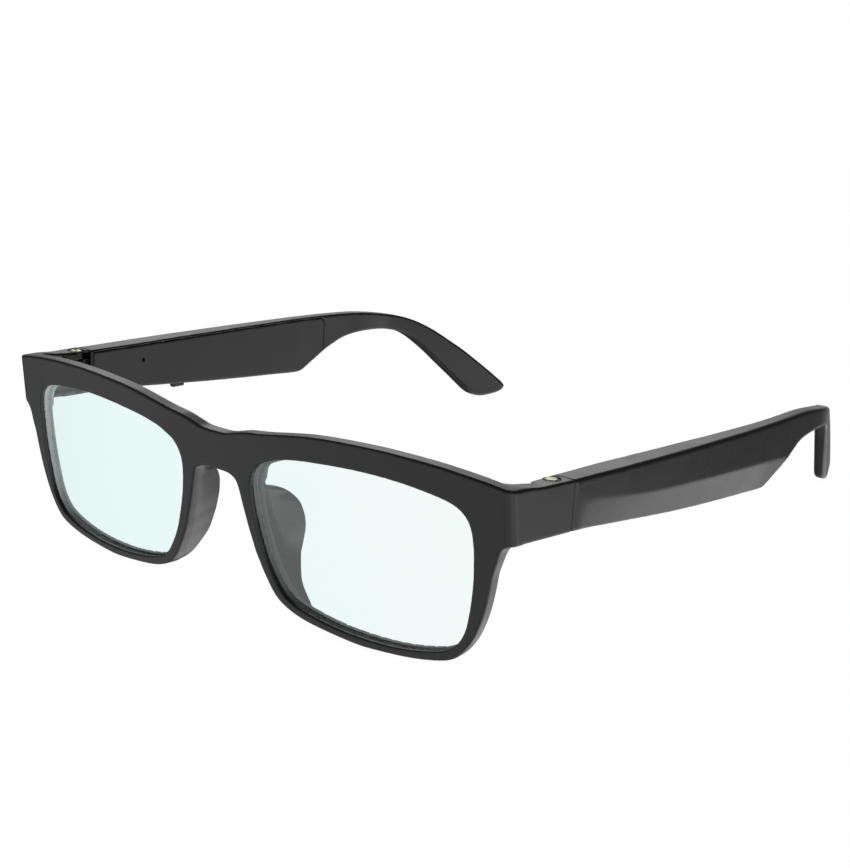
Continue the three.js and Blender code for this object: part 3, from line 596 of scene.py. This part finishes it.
pad_outline = np.array([[-9.6, 1.6], [-9.4, 3.5], [-12.0, 3.9], [-13.9, 4.5], [-14.55, 5.7], [-14.9, 7.4], [-15.5, 8.9],
                        [-16.7, 10.6], [-18.5, 11.8], [-20.5, 12.2], [-22.3, 12.2], [-24.3, 11.85], [-26.9, 11.05],
                        [-29.2, 9.95], [-31.2, 8.75], [-33.6, 7.2], [-36.0, 5.8], [-37.6, 4.6], [-38.6, 3.4], [-38.6, 1.6]])
pad_plane = Flat(catmull(pad_outline, 0.4), (-42, -1), (-6, 14), 0.1)


def smooth_step(q, a, b):
    t = np.clip((q - a) / (b - a), 0, 1)
    return t * t * (3 - 2 * t)


def front_field(x, y, z):
    q = np.abs(x)
    d = y - K * q * q + RAKE * z
    side = (q - (71.5 + 1.5 * np.clip((y - 8.4) / 16.3, -0.5, 1.2))) * 0.995
    draft = 0.11 * np.clip(d, 0, 4) * smooth_step(q, 54, 60) * smooth_step(-z, 14, 17)
    # The nose side of the rim leans out towards the back, and the nose pad carries the same surface on.
    edge = outline(q, z)
    lean = pad_slope(-z) * pad_cos(-z) * 0.5 * (np.hypot(d - 2.2, 1.6) + d - 2.2)
    at_nose = (1 - smooth_step(q, 14, 21)) * smooth_step(-z, 11, 17) * (1 - smooth_step(-z, 32, 38.5))
    body = both(edge + draft + lean * at_nose, both(-d * 0.99, side, 1.7), 0.55)
    thick = THICK + 0.75 * (1 - smooth_step(q, 12, 19)) * smooth_step(-z, 7.5, 11.5)
    back = either((d - thick) * 0.99, np.maximum(67.95 + 0.6 * (1 - smooth_step(y, 16.9, 17.6)) - q, -6), 2.2)
    f = both(body, back, 0.5)
    # The end piece: level top and underside behind the rim, and a square rear face.
    roof = z + 1.0 + 1.0 * smooth_step(y, 9.5, 17) - 2.2 * (1 - smooth_step(y, 7.4, 9.6))
    f = both(f, roof, 0.5)
    f = less(f, both(z + 12.5, THICK - 0.4 - d, 0.3), 0.5)
    f = both(f, y - 24.8, 0.08)
    # Lens opening and its groove.
    hole = aperture(q, z)
    f = less(f, hole + 0.45 * smooth_step(d, 2.86, 2.95), 0.3)
    wall = pad_wall(-z) + 0.4
    bend = pad_bend(-z)
    flare = np.maximum(pad_rear(-z) - wall, 0) / np.maximum(pad_depth(-z) - bend, 1.5)
    outer = wall + flare * np.maximum(d - bend, 0)
    pad = both(edge + lean, (q - outer) / np.sqrt(1 + np.where(d > bend, flare, 0) ** 2) * 0.95, 0.6)
    pad = both(pad_plane(z, d) * 0.98, pad, 0.6)
    f = either(f, pad, 1.3 * smooth_step(d, 2.8, 4.4) * smooth_step(6.0 + pad_e(-z) - q, 0, 3.0) * np.maximum(smooth_step(q - pad_e(-z), 0.9, 2.3), 1 - smooth_step(-z, 14.8, 18)) + 0.04)
    f = less(f, both(hole - 0.83, np.abs(d - 2.0) - 0.86, 0), 0.04)
    # Hinge pocket.
    r = np.hypot(q - HINGE[0], y - HINGE[1])
    low = np.abs(z + 6.9) - 4.4
    f = less(f, both(r - 1.76, -12 - z, 0), 0.1)
    f = less(f, np.maximum(np.maximum(slab(q, 60, 71.0), slab(y, 20.6, 30)), low), 0.12)
    f = less(f, np.maximum(np.maximum(slab(q, 60, 70.4), slab(y, 17.9, 21)), low), 0.12)
    f = less(f, np.maximum(np.maximum(slab(q, 60, 70.3), slab(y, 12.9, 21)), np.abs(z + 7.1) - 4.2), 0.12)
    return f


# ------------------------------------------------------------------ temple
temple_poly = np.concatenate([catmull(TEMPLE_TOP, 0.8), catmull(TEMPLE_LOW, 0.8)[::-1]])
temple_side = Flat(temple_poly, (20, -34), (176, 2), 0.15)
t_out, t_in, t_crease, t_chamfer = table(OUTER_X), table(INNER_X), table(CREASE_Z), table(CHAMFER)
t_low = table([r for r in TEMPLE_LOW if r[0] < 126])
t_top = table([r for r in TEMPLE_TOP if r[0] < 130])
t_tilt = table([[y, math.cos(math.atan((a - b) / 4))] for y, a, b in
                [(yy, float(t_out(yy + 2)), float(t_out(yy - 2))) for yy in range(25, 173, 4)]])


def temple_skin(x, y, z):
    """The whole temple, outside faces only."""
    tilt = t_tilt(y)
    outer = (x - t_out(y) + 0.014) * tilt
    inner = (t_in(y) - x) * tilt
    low = t_low(y)
    crease = t_crease(y)
    run = np.maximum(crease - low, 1.5)
    slope = t_chamfer(y) / run
    lower = (x - t_out(y) + slope * np.clip(crease - z, -9, run + 1)) * tilt / np.sqrt(1 + slope ** 2)
    side = temple_side(y, z)
    lift = 0.8 * np.clip((t_out(y) - 1.6 - x) / 3.4, 0, 1) * (1 - smooth_step(y, 100, 120))
    under = (low + lift - z) * 0.97 - 50 * smooth_step(y, 112, 126)
    f = both(outer, lower, 0.0)
    k = 0.1
    h = np.clip(0.5 + 0.5 * (outer - lower) / k, 0, 1)
    f = lower * (1 - h) + outer * h + k * h * (1 - h)
    f = both(f, side, 0.34 + 0.42 * smooth_step(z - crease, -1.0, 3.0) + 0.75 * smooth_step(y, 135, 160))
    f = both(f, inner, 0.6 + 0.5 * smooth_step(y, 135, 160))
    f = both(f, under, 0.35)
    return f


def cover_region(x, y, z, grow):
    low = t_low(y) + 0.8
    front = COVER_FRONT - grow - y
    # The rear edge is rounded at its top corner.
    rear = both(y - COVER_BACK - grow, z - t_top(y) + 0.7 - grow, 1.5 + grow)
    return np.maximum(np.maximum(front, rear), x - t_in(y) - COVER_THICK - (0.3 if grow else 0))


def shell_field(x, y, z):
    f = both(temple_skin(x, y, z), 24.88 - y, 0.08)
    f = less(f, cover_region(x, y, z, 0.14), 0.08)
    low = t_low(y)
    # Hollow for the electronics.
    crease = t_crease(y)
    slope = t_chamfer(y) / np.maximum(crease - low, 1.5)
    wall_out = np.maximum(x - t_out(y) + WALL, x - t_out(y) + slope * (crease - z) + WALL)
    hollow = np.maximum(np.maximum(wall_out, t_in(y) + 0.9 - x), np.maximum(z - t_top(y) + 1.3, low + 1.7 - z))
    hollow = np.maximum(hollow, slab(y, 37.2, 105.5))
    f = less(f, hollow, 0.1)
    # Button hole, seat and slot of the hinge leaf, grille and contact openings.
    f = less(f, np.maximum(np.maximum(slab(x, 69.7, 71.7), slab(y, 53.3, 57.5)), slab(z, -20, -12.6)), 0.12)
    f = less(f, np.maximum(np.maximum(slab(x, 68.3, 70.4), slab(y, 24, 27)), slab(z, -9.0, -3.7)), 0.1)
    f = less(f, np.maximum(np.maximum(slab(x, 68.3, 70.4), slab(y, 26.1, 36.3)), slab(z, -9.6, -3.3)), 0.1)
    f = less(f, np.maximum(np.maximum(slab(x, 71.2, 72.08), slab(y, 86.33, 96.17)), slab(z, -22, low + 2.4)), 0.15)
    for cy in (66.5, 72.5):
        f = less(f, np.maximum(np.hypot(x - 71.3, y - cy) - 0.78, slab(z, -22, low + 2.4)), 0.1)
    return f


def cover_field(x, y, z):
    f = both(temple_skin(x, y, z), cover_region(x, y, z, 0.0), 0.16)
    r = np.hypot(y - 41.9, z + 6.4)
    f = less(f, r - 0.5, 0.1)
    return f


# ------------------------------------------------------------------ small pieces
def box_field(x, y, z, lo, hi, r):
    q = [np.abs(a - (l + h) / 2) - (h - l) / 2 + r for a, l, h in zip((x, y, z), lo, hi)]
    out = np.sqrt(sum(np.maximum(a, 0) ** 2 for a in q))
    return out + np.minimum(np.maximum(np.maximum(q[0], q[1]), q[2]), 0) - r


def knuckles(x, y, z, spans):
    r = np.hypot(x - HINGE[0], y - HINGE[1])
    f = None
    for a, b in spans:
        k = both(r - 1.7, slab(z, a, b), 0.14)
        f = k if f is None else np.minimum(f, k)
    return f


def link(x, y, z, spans, y0, y1):
    f = None
    for a, b in spans:
        k = box_field(x, y, z, (HINGE[0] - 0.6, y0, a), (HINGE[0] + 0.6, y1, b), 0.1)
        f = k if f is None else np.minimum(f, k)
    return f


FRONT_SPANS = [[-3.9, -2.8], [-6.9, -5.6], [-10.3, -8.8]]
TEMPLE_SPANS = [[-5.3, -4.2], [-8.5, -7.2]]


def front_leaf_field(x, y, z):
    f = box_field(x, y, z, (68.7, 13.2, -11.0), (70.0, 19.3, -3.2), 0.3)
    f = either(f, either(knuckles(x, y, z, FRONT_SPANS), link(x, y, z, FRONT_SPANS, 18.2, 21.8), 0.2), 0.2)
    rr = np.hypot(x - HINGE[0], y - HINGE[1])
    f = np.minimum(f, both(rr - 1.74, slab(z, -3.9, -2.1), 0.16))
    f = np.minimum(f, box_field(x, y, z, (67.85, 17.75, -3.9), (70.3, 22.2, -2.34), 0.25))
    f = less(f, rr - 0.85, 0.08)
    f = less(f, np.maximum(rr - 1.36, -2.62 - z), 0.08)
    r = np.hypot(y - 16.2, z + 7.1)
    f = less(f, r - 0.8, 0.05)
    return less(f, np.maximum(r - 1.4, x - 69.3), 0.08)


def temple_leaf_field(x, y, z):
    f = box_field(x, y, z, (69.0, 26.4, -9.3), (70.1, 36, -3.6), 0.2)
    f = either(f, either(knuckles(x, y, z, TEMPLE_SPANS), link(x, y, z, TEMPLE_SPANS, 21.8, 27), 0.2), 0.2)
    f = less(f, np.hypot(x - HINGE[0], y - HINGE[1]) - 0.85, 0.08)
    r = np.hypot(y - 32.4, z + 6.6)
    f = less(f, r - 0.8, 0.05)
    return less(f, np.maximum(r - 1.4, x - 69.6), 0.08)


def pin_field(x, y, z):
    """Hinge screw: a low domed head with a straight slot, on a plain shank."""
    r = np.hypot(x - HINGE[0], y - HINGE[1])
    head = both(r - 1.3, slab(z, -2.6, -1.9 - 0.05 * r ** 2), 0.12)
    shank = both(r - 0.75, slab(z, -10.9, -2.4), 0.12)
    f = np.minimum(head, shank)
    a = math.radians(28)
    u = (x - HINGE[0]) * math.cos(a) + (y - HINGE[1]) * math.sin(a)
    v = -(x - HINGE[0]) * math.sin(a) + (y - HINGE[1]) * math.cos(a)
    return less(f, np.maximum(np.abs(v) - 0.16, -2.28 - z), 0.05)


def button_field(x, y, z):
    cap = box_field(x, y, z, (69.9, 53.5, -15.45), (71.5, 57.3, -12.85), 0.42)
    flange = box_field(x, y, z, (69.9, 52.9, -13.2), (71.95, 57.9, -12.8), 0.1)
    f = np.minimum(cap, flange)
    # Three shallow grip lines across the cap.
    for cy in (54.6, 55.4, 56.2):
        f = less(f, np.hypot(y - cy, z + 15.56) - 0.2, 0.06)
    return f


def grille_field(x, y, z):
    low = t_low(y) + 0.42
    f = both(both(np.abs(x - 71.64) - 0.37, slab(y, 86.45, 96.05), 0.25), slab(z, low + 0.1, low + 0.75), 0.1)
    for i in range(7):
        cy = 87.4 + i * (94.9 - 87.2) / 6
        f = less(f, np.maximum(box_field(x, y, z, (71.42, cy - 0.25, -30), (71.86, cy + 0.25, 10), 0.18), -1e9), 0.04)
    return f


def contact_field(cy):
    def field(x, y, z):
        base = float(t_low(cy)) + 0.42
        r = np.hypot(x - 71.3, y - cy)
        return both(r - 0.62, slab(z, base - 0.08 + 0.12 * r ** 2, base + 1.2), 0.12)
    return field


# ------------------------------------------------------------------ build
def lens_field(x, y, z):
    d = y - K * x * x + RAKE * z
    return both(aperture(x, z) - 0.62, slab(d, 1.22, 2.82) * 0.99, 0.06)


FINE = 1.0


def make(name, field, lo, hi, h, mat, body, nodes, slot_name, flip=False, data=None):
    if data is None:
        data = surface(field, lo, hi, h)
    ob = mesh_object(name, data[0], data[1], flip=flip)
    loose_ends(ob)
    paint(ob, mat)
    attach(ob, body)
    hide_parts(*nodes)
    return ob, data


make("front_moulding", front_field, (-75, -1.5, -43), (75, 26, 2.4), 0.27 * FINE, BLACK, "front", ["front_frame"], "frame_black")


def faces_of(ob, flip=False):
    """Face centres and normals of a mesh, in the frame's own axes."""
    n = len(ob.data.polygons)
    c, m = np.empty(n * 3), np.empty(n * 3)
    ob.data.polygons.foreach_get("center", c)
    ob.data.polygons.foreach_get("normal", m)
    return (c.reshape(-1, 3) * 1000 - SHIFT) @ TURN, m.reshape(-1, 3) @ TURN


front = bpy.data.objects["front_moulding"]
# The lens groove gets a second material, with painted light and shade.
front.data.materials.append(seat_painted_light_material())
fc, fn_ = faces_of(front)
fq = np.abs(fc[:, 0])
fd = fc[:, 1] - K * fq * fq + RAKE * fc[:, 2]
fhole = aperture(fq, fc[:, 2])
# Groove faces near the lens take the seat material with its painted light and shade.
seat = (fhole > -0.6) & (fhole < 1.0) & (fd > 1.2) & (fd < 3.5) & (fn_[:, 1] < 0.3)
front.data.polygons.foreach_set("material_index", seat.astype(np.int32))

KINDS = [
    ("lens", lens_field, (8, -1, -42), (66, 12, -2), 0.28 * FINE, LENS, "front", "lens", "lens_clear"),
    ("temple_housing", shell_field, (50, 24.5, -31.5), (75.6, 173, -1), 0.33 * FINE, BLACK, "temple", "temple_shell", "frame_black"),
    ("temple_inner_cover", cover_field, (67, 25, -18.5), (72.3, 110, -1.5), 0.3 * FINE, COVER, "temple", "temple_cover", "cover_black"),
    ("hinge_front_metal", front_leaf_field, (67.3, 12.8, -11.4), (71.7, 24, -1.7), 0.12 * FINE, HINGE_BRASS_SHADED, "front", "hinge_front_leaf", "hinge_bronze"),
    ("hinge_temple_metal", temple_leaf_field, (67.3, 19.6, -9.8), (71.7, 36.5, -3.2), 0.13 * FINE, HINGE_BRASS_SHADED, "temple", "hinge_temple_leaf", "hinge_bronze"),
    ("hinge_pin", pin_field, (67.6, 20, -11.3), (71.4, 23.7, -1.4), 0.09 * FINE, GOLD, "front", "hinge_screw", "pin_gold"),
    ("button_cap", button_field, (69.5, 52.5, -15.8), (72.3, 58.3, -12.4), 0.1 * FINE, BUTTON, "button", "push_button", "cover_black"),
    ("grille_plate", grille_field, (71, 86, -18), (72.7, 96.6, -15), 0.1 * FINE, GRILLE, "temple", "speaker_grille", "grille_black"),
    ("contact_front", contact_field(66.5), (70.4, 65.6, -16.6), (72.2, 67.4, -14), 0.09 * FINE, CONTACT, "temple", "charge_contact_front", "contact_gold"),
    ("contact_rear", contact_field(72.5), (70.4, 71.6, -17), (72.2, 73.4, -14.4), 0.09 * FINE, CONTACT, "temple", "charge_contact_rear", "contact_gold"),
]
kind_is_lens = lambda n: n == "lens"
for name, field, lo, hi, h, mat, body, node, slot_name in KINDS:
    data = None
    for side, flip in (("left", False), ("right", True)):
        on = body if body == "front" else f"{body}_{side}"
        made, data = make(f"{name}_{side}", field, lo, hi, h, mat, on, [f"{node}_{side}"], slot_name, flip, data)
        if kind_is_lens(name):
            # The lens's ground rim faces take the edge material, with its painted shade towards the nose.
            made.data.materials.append(LENS_EDGE)
            lc, ln = faces_of(made)
            rim = aperture(np.abs(lc[:, 0]), lc[:, 2]) > np.where(ln[:, 1] > 0.5, 0.47, 0.34)
            made.data.polygons.foreach_set("material_index", rim.astype(np.int32))

# The CAD pieces that stay: inside the temples, and the small screws.
STAY = {"front_leaf_screw": STEEL, "temple_leaf_screw": STEEL, "button_switch": STEEL, "circuit_board": BOARD,
        "microphone": STEEL, "battery": FOIL, "speaker": SPEAKER}
for kind, mat in STAY.items():
    for side in ("left", "right"):
        ob = frame["nodes"][f"{kind}_{side}"]
        paint(ob, mat)
        bev = ob.modifiers.new("soft_edges", "BEVEL")
        bev.width, bev.segments, bev.limit_method, bev.angle_limit = 0.00012, 2, "ANGLE", math.radians(35)

# ------------------------------------------------------------------ camera
AZ, EL, ROLL = math.radians(38.9147), math.radians(14.2987), math.radians(3.5532)
back = np.array([math.sin(AZ) * math.cos(EL), -math.cos(AZ) * math.cos(EL), math.sin(EL)])
right = np.cross([0, 0, 1], back)
right /= np.linalg.norm(right)
up = np.cross(back, right)
x2 = math.cos(ROLL) * right + math.sin(ROLL) * up
y2 = -math.sin(ROLL) * right + math.cos(ROLL) * up
where = np.stack([x2, y2, back]).T @ np.array([43.47676, -4.36101, 340.97718])
rot = TURN @ np.stack([x2, y2, back], 1)
cam = bpy.data.cameras.new("camera")
cam.sensor_width = 36
cam.lens = 1685.13 * 36 / 868
cam.clip_start, cam.clip_end = 0.01, 50
cam_ob = bpy.data.objects.new("camera", cam)
cam_ob.matrix_world = Matrix([[*rot[i], float(to_row(where)[i])] for i in range(3)] + [[0, 0, 0, 1]])
bpy.context.scene.collection.objects.link(cam_ob)
bpy.context.scene.camera = cam_ob

# ------------------------------------------------------------------ floor, world and light
bm = bmesh.new()
bmesh.ops.create_grid(bm, x_segments=1, y_segments=1, size=6)
me = bpy.data.meshes.new("floor")
bm.to_mesh(me)
bm.free()
floor = bpy.data.objects.new("floor", me)
bpy.context.scene.collection.objects.link(floor)
fm, _, fb, fn, fl = material("floor_pale")
fb.inputs["Base Color"].default_value = (0.3, 0.3, 0.3, 1)
fb.inputs["Roughness"].default_value = 0.95
fb.inputs["Specular IOR Level"].default_value = 0.0
fb.inputs["Emission Color"].default_value = (1, 1, 1, 1)
fb.inputs["Emission Strength"].default_value = 0.96
paint(floor, fm)
floor.visible_glossy = floor.visible_diffuse = floor.visible_shadow = False

# The studio is the world: a pale card behind and to the left, a lit table below, a softer one at
# the right, and dark surroundings between them. The camera itself sees plain white.
world = bpy.data.worlds.new("studio")
bpy.context.scene.world = world
world.use_nodes = True
wn, wl = world.node_tree.nodes, world.node_tree.links
facing = wn.new("ShaderNodeTexCoord")


def math_node(op, a, b):
    n = wn.new("ShaderNodeMath")
    n.operation = op
    for i, v in enumerate((a, b)):
        if isinstance(v, (int, float)):
            n.inputs[i].default_value = v
        else:
            wl.new(v, n.inputs[i])
    return n.outputs[0]


def lobe(direction, near, far, amount):
    """Soft light from one side: full within near degrees of the direction, none past far."""
    dot = wn.new("ShaderNodeVectorMath")
    dot.operation = "DOT_PRODUCT"
    dot.inputs[1].default_value = Vector(direction).normalized()
    wl.new(facing.outputs["Generated"], dot.inputs[0])
    mr = wn.new("ShaderNodeMapRange")
    mr.interpolation_type = "SMOOTHSTEP"
    mr.inputs["From Min"].default_value = math.cos(math.radians(far))
    mr.inputs["From Max"].default_value = math.cos(math.radians(near))
    mr.inputs["To Max"].default_value = amount
    wl.new(dot.outputs["Value"], mr.inputs["Value"])
    return mr.outputs["Result"]


light_sum = 0.07
for args in (((-0.609, 0.754, 0.20), 16, 42, 0.30),      # card behind, left
             ((0.30, 0.45, -0.90), 30, 42, 1.3),         # lit table
             ((-0.45, -0.75, -0.50), 20, 60, 0.62),       # table in front, dimmer
             ((0.98, 0.02, -0.22), 14, 40, 0.72),         # card at the right
             ((0.86, 0.46, -0.25), 6, 23, 0.9),          # its bright edge
             ((0.75, -0.62, -0.24), 16, 44, 0.75),        # card at the right, in front
             ((-0.27, 0.88, -0.36), 8, 33, 0.28),          # low card behind
             ((-0.5, -0.6, 0.62), 10, 50, 0.12)):         # faint fill above the front
    light_sum = math_node("ADD", lobe(*args), light_sum)
bg = wn["Background"]
bg.inputs["Color"].default_value = (1, 1, 1, 1)
wl.new(light_sum, bg.inputs["Strength"])
seen = wn.new("ShaderNodeBackground")
seen.inputs["Color"].default_value = (1, 1, 1, 1)
seen.inputs["Strength"].default_value = 1.0
lp = wn.new("ShaderNodeLightPath")
mx = wn.new("ShaderNodeMixShader")
wl.new(lp.outputs["Is Camera Ray"], mx.inputs["Fac"])
wl.new(bg.outputs[0], mx.inputs[1])
wl.new(seen.outputs[0], mx.inputs[2])
wl.new(mx.outputs[0], wn["World Output"].inputs["Surface"])


def area(name, at, target, size, power, colour=(1, 1, 1)):
    light = bpy.data.lights.new(name, "AREA")
    light.shape, light.size, light.size_y = "RECTANGLE", size[0], size[1]
    light.energy, light.color = power, colour
    ob = bpy.data.objects.new(name, light)
    ob.location = at
    ob.rotation_euler = (Vector(target) - Vector(at)).to_track_quat("-Z", "Y").to_euler()
    bpy.context.scene.collection.objects.link(ob)
    return ob


area("softbox_back", (-1.1, 1.35, 0.55), (0, 0, 0.02), (1.0, 0.5), 1.6)

bpy.context.scene.view_settings.view_transform = "Standard"
bpy.context.scene.view_settings.look = "None"
bpy.context.scene.view_settings.exposure = 0
bpy.context.scene.view_settings.gamma = 1
